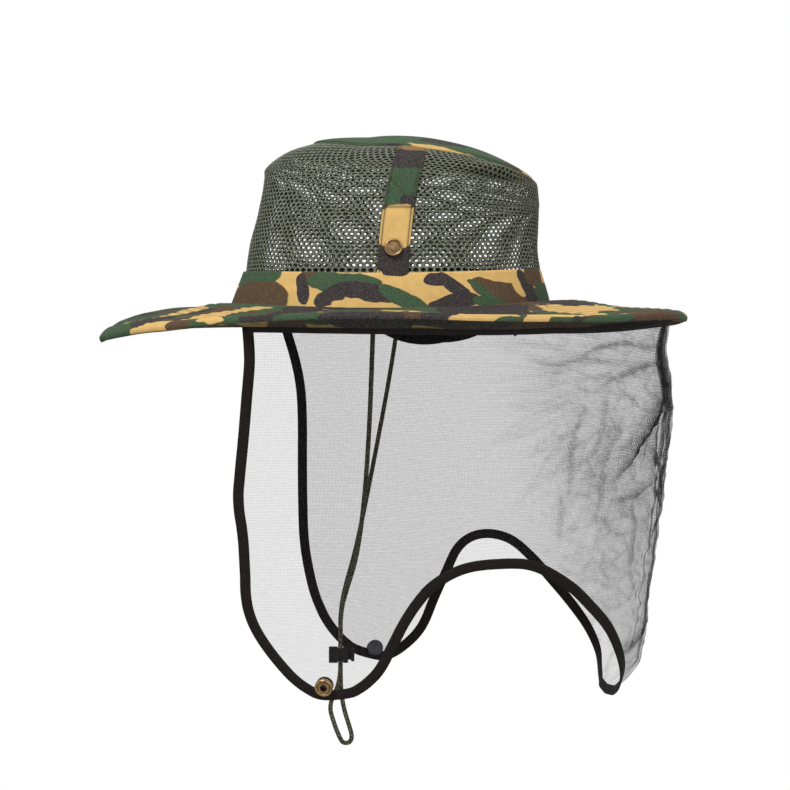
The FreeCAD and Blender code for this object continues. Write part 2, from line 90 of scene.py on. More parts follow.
def add_studio():
    """A white paper floor and dome that glow to the eye but leave the lighting to the lamps."""
    scene = bpy.context.scene
    scene.view_settings.view_transform = "Standard"
    world = bpy.data.worlds.new("studio")
    scene.world = world
    world.use_nodes = True
    sky = world.node_tree.nodes["Background"]
    sky.inputs["Color"].default_value = (1, 1, 1, 1)
    sky.inputs["Strength"].default_value = 0.60
    add_area("key", (-0.8, -1.3, 1.6), (0, 0, 0), 0.8, 34.0)
    add_area("fill", (1.2, -1.5, 0.5), (0, 0, -0.05), 1.0, 9.0)
    add_area("back", (0.3, 1.6, 1.2), (0, 0, 0), 1.0, 9.0)
    paper = glowing_paper()
    bpy.ops.mesh.primitive_plane_add(size=12, location=(0, 0, -1.1))
    floor = bpy.context.object
    floor.name = "floor"
    bpy.ops.mesh.primitive_uv_sphere_add(segments=32, ring_count=16, radius=7)
    dome = bpy.context.object
    dome.name = "backdrop"
    for piece in (floor, dome):
        piece.data.materials.append(paper)
        piece.visible_diffuse = False
        piece.visible_glossy = False
        piece.visible_transmission = False
        piece.visible_shadow = False


# -------------------- material tools
def new_material(name, colour, roughness, metallic=0.0, specular=0.5):
    mat = bpy.data.materials.new(name)
    mat.use_nodes = True
    shader = mat.node_tree.nodes["Principled BSDF"]
    shader.inputs["Base Color"].default_value = (*colour, 1)
    shader.inputs["Roughness"].default_value = roughness
    shader.inputs["Metallic"].default_value = metallic
    shader.inputs["Specular IOR Level"].default_value = specular
    return mat, mat.node_tree, shader


def node(tree, kind, **values):
    made = tree.nodes.new(kind)
    for key, value in values.items():
        setattr(made, key, value)
    return made


def coords(tree, kind="Object", scale=(1, 1, 1), offset=(0, 0, 0)):
    source = node(tree, "ShaderNodeTexCoord")
    mapping = node(tree, "ShaderNodeMapping")
    mapping.inputs["Scale"].default_value = scale
    mapping.inputs["Location"].default_value = offset
    tree.links.new(source.outputs[kind], mapping.inputs["Vector"])
    return mapping.outputs["Vector"]


def noise_value(tree, vector, scale, detail=2.0, roughness=0.5, distortion=0.0):
    tex = node(tree, "ShaderNodeTexNoise")
    tex.inputs["Scale"].default_value = scale
    tex.inputs["Detail"].default_value = detail
    tex.inputs["Roughness"].default_value = roughness
    tex.inputs["Distortion"].default_value = distortion
    tree.links.new(vector, tex.inputs["Vector"])
    return tex.outputs["Fac"]


def math_node(tree, operation, *values):
    made = node(tree, "ShaderNodeMath", operation=operation)
    for socket, value in zip(made.inputs, values):
        if isinstance(value, (int, float)):
            socket.default_value = value
        else:
            tree.links.new(value, socket)
    return made.outputs[0]


def mask_above(tree, value, edge, soft=0.006):
    """0 below the edge and 1 above it, with the soft border of printed ink."""
    ramp = node(tree, "ShaderNodeMapRange")
    ramp.inputs["From Min"].default_value = edge - soft
    ramp.inputs["From Max"].default_value = edge + soft
    tree.links.new(value, ramp.inputs["Value"])
    return ramp.outputs["Result"]


def mix_colour(tree, factor, below, above):
    made = node(tree, "ShaderNodeMix", data_type="RGBA")
    tree.links.new(factor, made.inputs["Factor"])
    for socket, value in ((made.inputs[6], below), (made.inputs[7], above)):
        if isinstance(value, tuple):
            socket.default_value = (*value, 1)
        else:
            tree.links.new(value, socket)
    return made.outputs[2]


def add_bump(tree, shader, height, strength, distance):
    bump = node(tree, "ShaderNodeBump")
    bump.inputs["Strength"].default_value = strength
    bump.inputs["Distance"].default_value = distance
    tree.links.new(height, bump.inputs["Height"])
    tree.links.new(bump.outputs["Normal"], shader.inputs["Normal"])


# -------------------- cloth prints
EDGE_HALF = (185.5, 171.5)  # the brim's half length and half width
STITCH_AND_GROOVE_SHADE, NAP_PALE, SOILED = (0.02, 0.02, 0.014), (0.42, 0.38, 0.30), (0.02, 0.02, 0.015)
WEAVE_PITCH = 0.55
GREEN, BROWN = (0.040, 0.092, 0.042), (0.098, 0.052, 0.026)
CHARCOAL, TAN, GOLD = (0.032, 0.025, 0.030), (0.80, 0.51, 0.17), (0.26, 0.15, 0.06)


def weave_height(tree, pitch):
    """Over-and-under threads of a plain weave, in the cloth's own coordinates."""
    wave = 2 * math.pi / pitch
    split = node(tree, "ShaderNodeSeparateXYZ")
    tree.links.new(coords(tree, "UV"), split.inputs[0])
    across = math_node(tree, "SINE", math_node(tree, "MULTIPLY", split.outputs["X"], wave))
    along = math_node(tree, "SINE", math_node(tree, "MULTIPLY", split.outputs["Y"], wave))
    return math_node(tree, "MULTIPLY", across, along)


def finish_print(tree, shader, colour):
    """Thread relief, faded nap, mottling and dark lines along the stitching over a printed colour: the
    stitching thread, and painted shade in the grooves where it sinks in.
    """
    # dark stitch lines: partly the thread itself, partly painted shade in the stitched grooves
    stitch_and_groove_lines = node(tree, "ShaderNodeAttribute", attribute_name="stitching")
    stitched = math_node(tree, "MULTIPLY", stitch_and_groove_lines.outputs["Fac"], 0.75)
    colour = mix_colour(tree, stitched, colour, STITCH_AND_GROOVE_SHADE)
    grain = noise_value(tree, coords(tree), 1400.0, 2.0, 0.6)
    mottle = noise_value(tree, coords(tree), 160.0, 2.0)
    faded = mix_colour(tree, math_node(tree, "MULTIPLY", mask_above(tree, grain, 0.56, 0.14), 0.20),
                       colour, NAP_PALE)
    worn = mix_colour(tree, math_node(tree, "MULTIPLY", mottle, 0.30), faded, SOILED)
    tree.links.new(worn, shader.inputs["Base Color"])
    weave = weave_height(tree, WEAVE_PITCH * MM)
    relief = math_node(tree, "ADD", weave, math_node(tree, "MULTIPLY", grain, 2.0))
    add_bump(tree, shader, relief, 0.35, 0.0003)


def camo_material(name, blobs=(), offset=(0, 0, 0), shade=1.0):
    """Four-colour woodland print in the cloth's own coordinates, with some placed shapes on top; `shade`
    scales every colour down, as painted shade.
    """
    mat, tree, shader = new_material(name, GREEN, 0.9, specular=0.12)
    base = coords(tree, "UV", offset=offset)
    colour = tuple(c * shade for c in TAN)
    layers = ((GREEN, 21.0, 0.47, 3.1), (BROWN, 25.0, 0.55, 7.7), (CHARCOAL, 23.0, 0.56, 12.9))
    for tint, scale, edge, shift in layers:
        moved = node(tree, "ShaderNodeVectorMath", operation="ADD")
        moved.inputs[1].default_value = (shift, shift * 0.7, -shift)
        tree.links.new(base, moved.inputs[0])
        value = noise_value(tree, moved.outputs[0], scale, 1.2, 0.4, 0.35)
        colour = mix_colour(tree, mask_above(tree, value, edge), colour, tuple(c * shade for c in tint))
    if blobs:
        colour = add_blobs(tree, colour, blobs)
    finish_print(tree, shader, colour)
    return mat


def blob_mask(tree, place, centre, half, turn=0.0):
    """A soft-edged leaf shape: an ellipse at centre, with half sizes and a turn in degrees."""
    c, s = math.cos(math.radians(turn)), math.sin(math.radians(turn))
    split = node(tree, "ShaderNodeSeparateXYZ")
    tree.links.new(place, split.inputs[0])
    dx = math_node(tree, "SUBTRACT", split.outputs["X"], centre[0] * MM)
    dy = math_node(tree, "SUBTRACT", split.outputs["Y"], centre[1] * MM)
    u = math_node(tree, "ADD", math_node(tree, "MULTIPLY", dx, c), math_node(tree, "MULTIPLY", dy, s))
    v = math_node(tree, "SUBTRACT", math_node(tree, "MULTIPLY", dy, c), math_node(tree, "MULTIPLY", dx, s))
    u = math_node(tree, "ABSOLUTE", math_node(tree, "DIVIDE", u, half[0] * MM))
    v = math_node(tree, "ABSOLUTE", math_node(tree, "DIVIDE", v, half[1] * MM))
    reach = math_node(tree, "ADD", math_node(tree, "POWER", u, 2.4), math_node(tree, "POWER", v, 2.4))
    return mask_above(tree, math_node(tree, "SUBTRACT", 1.0, reach), 0.0, 0.05)


def wobbled(tree, amount, scale):
    """The cloth's coordinates, pushed about so that printed edges wander."""
    tex = node(tree, "ShaderNodeTexNoise")
    tex.inputs["Scale"].default_value = scale
    tex.inputs["Detail"].default_value = 1.5
    place = coords(tree, "UV")
    tree.links.new(place, tex.inputs["Vector"])
    centred = node(tree, "ShaderNodeVectorMath", operation="SUBTRACT")
    centred.inputs[1].default_value = (0.5, 0.5, 0.5)
    tree.links.new(tex.outputs["Color"], centred.inputs[0])
    scaled = node(tree, "ShaderNodeVectorMath", operation="SCALE")
    scaled.inputs["Scale"].default_value = amount * MM
    tree.links.new(centred.outputs[0], scaled.inputs[0])
    moved = node(tree, "ShaderNodeVectorMath", operation="ADD")
    tree.links.new(place, moved.inputs[0])
    tree.links.new(scaled.outputs[0], moved.inputs[1])
    return moved.outputs[0]


def add_blobs(tree, colour, blobs, wobble=7.0):
    """Leaf shapes set out one by one on the cloth, first ones underneath."""
    place = wobbled(tree, wobble, 95.0)
    for tint, centre, half, turn in blobs:
        colour = mix_colour(tree, blob_mask(tree, place, centre, half, turn), colour, tint)
    return colour


def placed_print(name, ground, blobs, wobble):
    """A print of placed leaf shapes alone, on a plain ground."""
    mat, tree, shader = new_material(name, ground, 0.9, specular=0.12)
    finish_print(tree, shader, add_blobs(tree, ground, blobs, wobble))
    return mat


# Placed shapes are a colour, a middle, half sizes and a turn in degrees.
# hatband: distance along the band from the middle of the wearer's left side, height up the band
BAND_BLOBS = [
    (GREEN, (-85, 19.5), (15, 8), 0), (BROWN, (-80, 6.2), (18.5, 9.8), -4), (BROWN, (-47, 22), (10, 4), 0),
    (GREEN, (-29, 16.6), (23, 6.4), -3), (CHARCOAL, (-54, 12.5), (4.0, 10), 16),
    (CHARCOAL, (-36, 9), (11, 5.4), 34), (CHARCOAL, (-14, 10.8), (20, 5.4), -8),
    (TAN, (-25, 2.8), (11, 4.4), 0), (GREEN, (8, 5.5), (18, 5.0), -30),
    (CHARCOAL, (27, 18.0), (7, 4.0), -10), (CHARCOAL, (38, 13.2), (12, 4.2), -40),
    (BROWN, (58, 12), (11, 6), -25), (BROWN, (71, 7), (17, 10), -14), (CHARCOAL, (37, 3.6), (16, 5.0), 8),
    (GREEN, (54, 11.5), (10, 2.4), -42), (GREEN, (58, 3), (10, 3.4), -12), (TAN, (68, 21), (16, 5.5), -12),
    (TAN, (77, 14), (2.8, 9), 22), (CHARCOAL, (85, 8), (4.2, 15), 18), (BROWN, (90, 19), (6, 7), 0),
    (GREEN, (95, 7), (6, 8), 20), (BROWN, (120, 6), (18, 8), 8), (GREEN, (146, 16), (22, 8), -14),
    (CHARCOAL, (160, 5), (16, 4.6), 20), (GREEN, (196, 7), (20, 9), -10), (BROWN, (222, 17), (20, 7), 12),
    (CHARCOAL, (238, 6), (14, 5), -24), (GREEN, (-120, 8), (17, 9), 12),
    (CHARCOAL, (-142, 16), (18, 4.8), -18),
    (BROWN, (-164, 6), (18, 8), 10), (GREEN, (-198, 16), (22, 8), -10), (CHARCOAL, (-212, 5), (17, 4.6), 14),
    (BROWN, (-240, 12), (13, 12), 0),
]
# the brim's edge on the wearer's left: from and to, counted from the middle towards the back,
# the turn against the edge, how far in from it the middle lies, and half the width
EDGE_BLOBS = [
    (GREEN, -186, -158, 0, 1, 7), (TAN, -158, -130, 5, 0, 5), (BROWN, -133, -116, -6, 1, 6),
    (GREEN, -119, -84, 3, 0, 6.5), (TAN, -112, -96, -9, 3, 3.4), (CHARCOAL, -88, -64, 5, 1, 6),
    (GREEN, -68, -36, 7, 0, 5.6), (CHARCOAL, -42, 8, 3, 1, 6), (TAN, -80, -30, -3, 9, 1.5),
    (BROWN, 5, 22, -6, 0, 5), (CHARCOAL, 16, 36, 8, -1, 5), (GREEN, 8, 46, 4, 6, 2.4),
    (TAN, 33, 72, 4, 0, 4.6), (GREEN, 56, 80, 9, -3.5, 4), (TAN, 76, 100, 5, -1, 5),
    (CHARCOAL, 40, 76, 3, 7, 2.2), (GREEN, 90, 112, 10, -2, 4.6), (CHARCOAL, 104, 114, 0, -2, 3.6),
    (GREEN, 110, 150, 5, 0, 5), (TAN, 84, 138, 4, 9, 2.4), (BROWN, 142, 164, -5, 1, 6),
]


def edge_blob(tint, start, end, skew, inset, half):
    """A leaf shape that follows the brim's edge between two distances, turned by `skew`."""
    middle = (start + end) / 2
    y = -(EDGE_HALF[1] - inset) * math.sqrt(max(0.02, 1 - (middle / EDGE_HALF[0]) ** 2))
    turn = math.degrees(math.atan(-middle * (EDGE_HALF[1] / EDGE_HALF[0]) ** 2 / y))
    long = (end - start) / 2 / math.cos(math.radians(turn))
    return tint, (middle, y), (long + 1, half), turn + skew


# top panel: length and width, seen from above
TOP_BLOBS = [
    (GREEN, (-20, -22), (40, 30), 0), (GREEN, (22, -28), (54, 27), 0),
    (CHARCOAL, (30, -40), (16, 8), 20), (BROWN, (70, -14), (9, 22), 0), (TAN, (82, 0), (7, 26), 0),
]
# side strap: distance across from its middle, height above its lower end
STRAP_BLOBS = [
    (CHARCOAL, (0, 8), (14, 12), 0), (TAN, (-9, 3), (4, 4), 30), (TAN, (0, 29), (13, 11.5), 0),
    (GREEN, (0, 53), (14, 13.5), 0), (CHARCOAL, (6, 43), (6, 3.2), 4), (CHARCOAL, (0, 72.5), (14, 8.5), 0),
    (GOLD, (0, 85), (14, 5), 0),
]


# -------------------- other materials
THREAD_PITCH = 0.95


def net_material():
    """Fine black net: two sets of thread lines, denser where the cloth is gathered."""
    mat, tree, shader = new_material("net", (0.012, 0.012, 0.013), 0.6, specular=0.1)
    split = node(tree, "ShaderNodeSeparateXYZ")
    tree.links.new(coords(tree, "UV"), split.inputs[0])
    wave = 2 * math.pi / (THREAD_PITCH * MM)
    lines = []
    for axis in ("X", "Y"):
        swing = math_node(tree, "COSINE", math_node(tree, "MULTIPLY", split.outputs[axis], wave))
        lines.append(mask_above(tree, swing, 0.80, 0.25))
    threads = math_node(tree, "MAXIMUM", *lines)
    close = node(tree, "ShaderNodeAttribute", attribute_name="closeness")
    uneven = noise_value(tree, coords(tree, "UV", (0.25, 1, 1)), 900.0, 2.0, 0.6)
    base = math_node(tree, "ADD", math_node(tree, "MULTIPLY", threads, 0.42),
                     math_node(tree, "MULTIPLY", uneven, 0.20))
    base = math_node(tree, "MULTIPLY", base, close.outputs["Fac"])
    tree.links.new(math_node(tree, "MINIMUM", base, 0.97), shader.inputs["Alpha"])
    return mat


def tape_material():
    mat, tree, shader = new_material("black_tape", (0.010, 0.008, 0.008), 0.85, specular=0.15)
    specks = noise_value(tree, coords(tree), 1500.0, 1.0)
    broad = noise_value(tree, coords(tree), 40.0, 2.0)
    lit = mix_colour(tree, mask_above(tree, specks, 0.70, 0.05), (0.009, 0.007, 0.007), (0.06, 0.05, 0.045))
    soft = mix_colour(tree, math_node(tree, "MULTIPLY", broad, 0.35), lit, (0.028, 0.020, 0.018))
    tree.links.new(soft, shader.inputs["Base Color"])
    add_bump(tree, shader, specks, 0.5, 0.0004)
    return mat


def knit_material():
    mat, tree, shader = new_material("mesh_knit", (0.10, 0.11, 0.085), 0.8, specular=0.2)
    strands = noise_value(tree, coords(tree, "Object", (1, 1, 0.45)), 1500.0, 2.0, 0.7)
    patches = noise_value(tree, coords(tree), 60.0, 2.0)
    ridge = node(tree, "ShaderNodeAttribute", attribute_name="ridge")
    # painted highlight: the raised crests of the strands, where the ridge attribute is high, are mixed
    # towards a pale grey-green as if catching the light
    crest_highlight = math_node(tree, "MULTIPLY", mask_above(tree, ridge.outputs["Fac"], 0.55, 0.35),
                      mask_above(tree, strands, 0.42, 0.16))
    lit = mix_colour(tree, crest_highlight, (0.022, 0.024, 0.018), (0.30, 0.32, 0.24))
    deep = mix_colour(tree, math_node(tree, "MULTIPLY", patches, 0.4), lit, (0.03, 0.035, 0.025))
    tree.links.new(deep, shader.inputs["Base Color"])
    add_bump(tree, shader, strands, 0.8, 0.0006)
    return mat


def cord_material():
    """A round braid: bright flecks on dark strands."""
    mat, tree, shader = new_material("cord", (0.05, 0.05, 0.03), 0.8, specular=0.2)
    flecks = noise_value(tree, coords(tree), 1500.0, 1.0)
    lit = mix_colour(tree, mask_above(tree, flecks, 0.56, 0.06), (0.020, 0.019, 0.012), (0.20, 0.19, 0.12))
    tree.links.new(lit, shader.inputs["Base Color"])
    add_bump(tree, shader, flecks, 0.7, 0.0005)
    return mat


def worn_metal(name, colour, dark, roughness):
    """Lacquered metal: blotches of darker patina from noise, with roughness and a faint bump from the same
    noise.
    """
    mat, tree, shader = new_material(name, colour, roughness, 1.0)
    patina = noise_value(tree, coords(tree), 420.0, 4.0, 0.65)
    tint = mix_colour(tree, mask_above(tree, patina, 0.5, 0.2), dark, colour)
    tree.links.new(tint, shader.inputs["Base Color"])
    rough = node(tree, "ShaderNodeMapRange")
    rough.inputs["To Min"].default_value = roughness - 0.08
    rough.inputs["To Max"].default_value = roughness + 0.15
    tree.links.new(patina, rough.inputs["Value"])
    tree.links.new(rough.outputs["Result"], shader.inputs["Roughness"])
    add_bump(tree, shader, patina, 0.2, 0.0002)
    return mat


def plain_fabric(name, colour, lighter, scale, specular=0.1):
    mat, tree, shader = new_material(name, colour, 0.9, specular=specular)
    grain = noise_value(tree, coords(tree), scale, 3.0, 0.6)
    tree.links.new(mix_colour(tree, grain, colour, lighter), shader.inputs["Base Color"])
    add_bump(tree, shader, grain, 0.15, 0.0003)
    return mat


CAMO = camo_material("camo_cloth", [edge_blob(*b) for b in EDGE_BLOBS])
# the brim's lower ply: the same print with every colour at 0.30, painted shade for the underside that lies
# in shadow
CAMO_UNDER = camo_material("camo_cloth_under_painted_shade", shade=0.30)
CAMO_TOP = camo_material("camo_cloth_top", TOP_BLOBS, offset=(0.31, 0.12, 0.2))
BAND_PRINT = placed_print("camo_cloth_band", TAN, BAND_BLOBS, 4.5)
STRAP_PRINT = placed_print("camo_cloth_strap", BROWN, STRAP_BLOBS, 5.0)
NET = net_material()
TAPE = tape_material()
KNIT = knit_material()
CORD = cord_material()
LINING = plain_fabric("lining", (0.006, 0.005, 0.005), (0.016, 0.014, 0.014), 500.0)
STIFFENER = plain_fabric("interlining", (0.42, 0.40, 0.35), (0.52, 0.50, 0.45), 700.0)
BRASS = worn_metal("antique_brass", (0.52, 0.34, 0.17), (0.20, 0.11, 0.055), 0.30)
GUNMETAL = worn_metal("dark_metal", (0.12, 0.12, 0.125), (0.05, 0.05, 0.055), 0.45)
PLASTIC = plain_fabric("lock_plastic", (0.008, 0.008, 0.008), (0.016, 0.015, 0.015), 900.0, 0.35)
STEEL = worn_metal("spring_steel", (0.55, 0.55, 0.57), (0.30, 0.30, 0.32), 0.28)


# -------------------- mesh building
def make_piece(name, points, faces, material, uv=None, body="hat"):
    mesh = bpy.data.meshes.new(name)
    mesh.from_pydata([tuple(p) for p in np.asarray(points)], [], faces)
    mesh.update()
    obj = bpy.data.objects.new(name, mesh)
    bpy.context.collection.objects.link(obj)
    mesh.materials.append(material)
    mesh.shade_smooth()
    if uv is not None:
        layer = mesh.uv_layers.new(name="cloth")
        corners = np.zeros(len(mesh.loops), dtype=np.int32)
        mesh.loops.foreach_get("vertex_index", corners)
        layer.data.foreach_set("uv", np.asarray(uv, float)[corners].ravel())
    if body:
        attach(obj, body)
    return obj


def grid_faces(rows, columns, closed=False):
    """Quads of a rows x columns grid whose columns may join up."""
    last = columns if closed else columns - 1
    return [(r * columns + c, r * columns + (c + 1) % columns,
             (r + 1) * columns + (c + 1) % columns, (r + 1) * columns + c)
            for r in range(rows - 1) for c in range(last)]


def roll_faces(rings, columns):
    """Quads of a closed roll: `rings` loops round its section, each of `columns` points."""
    total = rings * columns
    return [tuple(i % total for i in f) for f in grid_faces(rings + 1, columns, True)]


def roll_points(angle, middle, out, up, around):
    """A closed roll round an oval: its middle line, moved step by step round its section."""
    rings = []
    for k in range(around):
        turn = 2 * math.pi * k / around
        ring = middle.copy()
        ring[:, 0] += out * math.cos(turn) * np.cos(angle)
        ring[:, 1] += out * math.cos(turn) * np.sin(angle)
        ring[:, 2] += up * math.sin(turn)
        rings.append(ring)
    return np.vstack(rings)


def set_values(obj, name, values):
    layer = obj.data.attributes.new(name, "FLOAT", "POINT")
    layer.data.foreach_set("value", np.asarray(values, float).ravel())


def thicken(obj, thickness, offset=0.0):
    modifier = obj.modifiers.new("cloth_thickness", "SOLIDIFY")
    modifier.thickness = thickness
    modifier.offset = offset


def smoothstep(low, high, x):
    t = np.clip((np.asarray(x, float) - low) / (high - low), 0, 1)
    return t * t * (3 - 2 * t)


def smooth_between(a, b, c, d, t):
    """From b to c on a smooth line that also passes a and d."""
    return 0.5 * (2 * b + (c - a) * t + (2 * a - 5 * b + 4 * c - d) * t ** 2
                  + (3 * b - a - 3 * c + d) * t ** 3)


def spline(points, steps=24):
    """A smooth line through the given points."""
    p = np.asarray(points, float)
    ends = np.vstack([2 * p[0] - p[1], p, 2 * p[-1] - p[-2]])
    t = np.linspace(0, 1, steps, endpoint=False)[:, None]
    line = []
    for four in zip(ends, ends[1:], ends[2:], ends[3:]):
        line.append(smooth_between(*four, t))
    return np.vstack(line + [p[-1:]])


def through(points, places):
    """Points along a smooth line through the given ones: a count of even steps, or fractions."""
    line = spline(points)
    along = np.concatenate([[0], np.cumsum(np.linalg.norm(np.diff(line, axis=0), axis=1))])
    wanted = along[-1] * (np.linspace(0, 1, places) if isinstance(places, int) else np.asarray(places))
    return np.stack([np.interp(wanted, along, line[:, k]) for k in range(line.shape[1])], axis=1)


def ripple(p, scale, seed):
    """Soft noise in -1..1 at points p."""
    shift = Vector((seed, 2 * seed, -seed))
    return np.array([noise.noise(Vector(q) * scale + shift) for q in np.asarray(p)])


# -------------------- brim
HEAD = np.array([98.0, 84.0]) * MM  # half length and width at the crown's foot
EDGE = np.array(EDGE_HALF) * MM
WIDE = (EDGE - HEAD).mean() / MM
# height of the brim's lower edge at angles from the back (0) by the wearer's right (90)
EDGE_ANGLES = [0, 25, 45, 90, 120, 140, 155, 170, 180, 200, 220, 240, 258, 270, 290, 310, 335, 360]
EDGE_HEIGHTS = [-8, -10.5, -12, -11, -7, -1, -6.5, -15, -20.5, -20.5, -17.4, -13.9, -11.5, -11.6,
                -12.7, -12.4, -9.0, -8]
# how far the last band turns down, and how far the brim sags inside it
CURL_HEIGHTS = [3, 4, 4, 3.5, 3.5, 3, 3.5, 4, 4, 3.6, 2.4, 1.5, 1.2, 1.2, 1.4, 2.0, 3, 3]
SAG_HEIGHTS = [0, 0, 0, 0, 0, 0, 0, 0, 0, 0, 0.8, 3.2, 6.0, 6.4, 6.0, 4.2, 1.5, 0]
BAND_WIDE = 9.6  # the outermost stitched band
SAG_AT = 0.885  # where it sags most, 1 being the edge
ROW_PITCH = 6.3  # between the other rows of stitching
PLY = 1.5 * MM
ROLL_CLOTH = 2.4 * MM  # cloth from the top of the turned edge to the middle of its face


def by_angle(angle, heights):
    line = spline(list(zip(EDGE_ANGLES, heights)))
    return np.interp(np.degrees(angle) % 360, line[:, 0], line[:, 1]) * MM


def head_height(angle):
    """Height of the crown's foot: the soft hat dips at both sides."""
    return (1.2 * np.cos(angle) ** 2 + 0.6 * np.cos(angle) - 3.6 * np.sin(angle) ** 2) * MM


def brim_point(angle, r, under=0.0):
    """The brim's upper surface at r = 0 (head) to 1 (edge), moved down by `under`."""
    flat = HEAD[:, None] + (EDGE - HEAD)[:, None] * r
    inner, curl = head_height(angle), by_angle(angle, CURL_HEIGHTS)
    outer = by_angle(angle, EDGE_HEIGHTS) + 3 * MM
    turned = np.clip((r - (1 - BAND_WIDE / WIDE)) * WIDE / BAND_WIDE, 0, 1)
    z = inner + (outer + curl - inner) * r ** 1.25 - curl * turned ** 1.5
    z = z + 3.0 * MM * np.cos(angle) ** 2 * np.exp(-((r - 0.20) / 0.20) ** 2)
    spread = np.where(r < SAG_AT, 0.36, 0.062)
    z = z - by_angle(angle, SAG_HEIGHTS) * np.exp(-((r - SAG_AT) / spread) ** 2)
    flat = flat - 1.5 * MM * turned ** 2
    return np.stack([flat[0] * np.cos(angle), flat[1] * np.sin(angle), z - under], axis=-1)


def brim_relief(angle, r):
    """Puffy rows between the lines of stitching, and the uneven lie of a soft brim."""
    from_edge = (1 - r) * WIDE
    rows = np.where(from_edge < BAND_WIDE, from_edge / BAND_WIDE, (from_edge - BAND_WIDE) / ROW_PITCH + 1)
    puff = np.abs(np.sin(np.pi * rows)) ** 0.55
    # seam marks the stitched grooves between the rows; they are darkened later, partly as thread and partly
    # as painted shade
    seam = np.exp(-((rows - np.round(rows)) / 0.15) ** 2) * (from_edge > 2)
    slow = ripple(brim_point(angle, r) * (1, 1, 0), 30, 4.0) * (r * (1.1 - r) * 4)
    return puff, slow, seam


def add_brim():
    columns, rows = 400, 190
    angle = np.tile(np.linspace(0, 2 * math.pi, columns, endpoint=False), rows)
    r = np.repeat(np.linspace(0, 1, rows), columns)
    puff, slow, seam = brim_relief(angle, r)
    uv = brim_point(angle, r)[:, :2]
    for name, under, lift, material, slot, replaced in (
            ("brim_upper_cloth", 0.0, 0.7, CAMO, "camo_cloth", "brim_upper"),
            ("brim_stiffener", PLY, 0.0, STIFFENER, "interlining", "brim_interlining"),
            ("brim_lower_cloth", 2 * PLY, -0.7, CAMO_UNDER, "camo_cloth", "brim_lower")):
        p = brim_point(angle, r, under)
        p[:, 2] += (1.4 * lift * (puff - 0.4) + 0.9 * slow) * MM
        obj = make_piece(name, p, grid_faces(rows, columns, True), material, uv)
        set_values(obj, "stitching", seam)
        thicken(obj, 0.6 * MM, -math.copysign(1, lift) if lift else 0)
        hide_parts(replaced)

    # the turned edge: a small rounded roll that closes the plies
    around = 10
    angle = np.linspace(0, 2 * math.pi, columns, endpoint=False)
    edge = np.ones(columns)
    middle = brim_point(angle, edge - 0.8 / WIDE, PLY)
    middle[:, 2] += 0.9 * MM * brim_relief(angle, edge)[1]
    rim = roll_points(angle, middle, 1.3 * MM, 2.1 * MM, around)
    faces = roll_faces(around, columns)
    past = np.repeat(1 - np.sin(2 * np.pi * np.arange(around) / around), columns)[:, None] * ROLL_CLOTH
    cloth = rim[:, :2] + past * rim[:, :2] / np.linalg.norm(rim[:, :2], axis=1)[:, None]
    obj = make_piece("brim_turned_edge", rim, faces, CAMO, cloth)
    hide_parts("brim_edge_binding")


# -------------------- crown
PANEL_CENTRE, PANEL_HALF = np.array([18.7, 0.0]) * MM, np.array([68.5, 57.0]) * MM


SEAM_TOP, SEAM_TOP_X = 97.5, -15


def seam_height(x):
    """The top seam's height: curved behind its highest place, straight before it."""
    past = x / MM - SEAM_TOP_X
    back = SEAM_TOP - 0.0016 * past ** 2
    front = SEAM_TOP - 0.17 * past
    return np.where(x > SEAM_TOP_X * MM, back, front) * MM


def seam_point(angle):
    x = PANEL_CENTRE[0] + PANEL_HALF[0] * np.cos(angle)
    return np.stack([x, PANEL_HALF[1] * np.sin(angle), seam_height(x)], axis=-1)


def crown_rings(angle):
    """The side's profile: rings it passes through, from under the hatband to the top seam."""
    c, s = np.cos(angle), np.sin(angle)
    front, back = np.clip(-c, 0, 1) ** 1.5, np.clip(c, 0, 1) ** 1.5
    top = seam_point(angle)
    z = top[..., 2] / MM

    def ring(x, y, height):
        return np.stack([x * MM, y * MM, height * MM + 0 * x], axis=-1)

    return [
        ring(93.6 * c, 80.0 * s, head_height(angle) / MM + 14),
        ring(0.5 + 90.5 * c, 77.5 * s, 38.0),
        ring(3.2 + 88.0 * c, 75.0 * s, 60.0),
        ring(5.6 + 86.0 * c, 73.0 * s, z - 17 + 2 * back - 5 * front),
        ring(8.0 + 84.5 * c - 2.5 * front - 1.8 * back, 70.0 * s, z - 8.5 + 4 * back - 6.4 * front),
        ring(13.5 + 76.5 * c - 3 * front, 64.0 * s, z - 2.2 - 3.0 * front),
        top,
    ]


RING_STEPS = np.array([0, 0.24, 0.46, 0.68, 0.82, 0.93, 1.0])


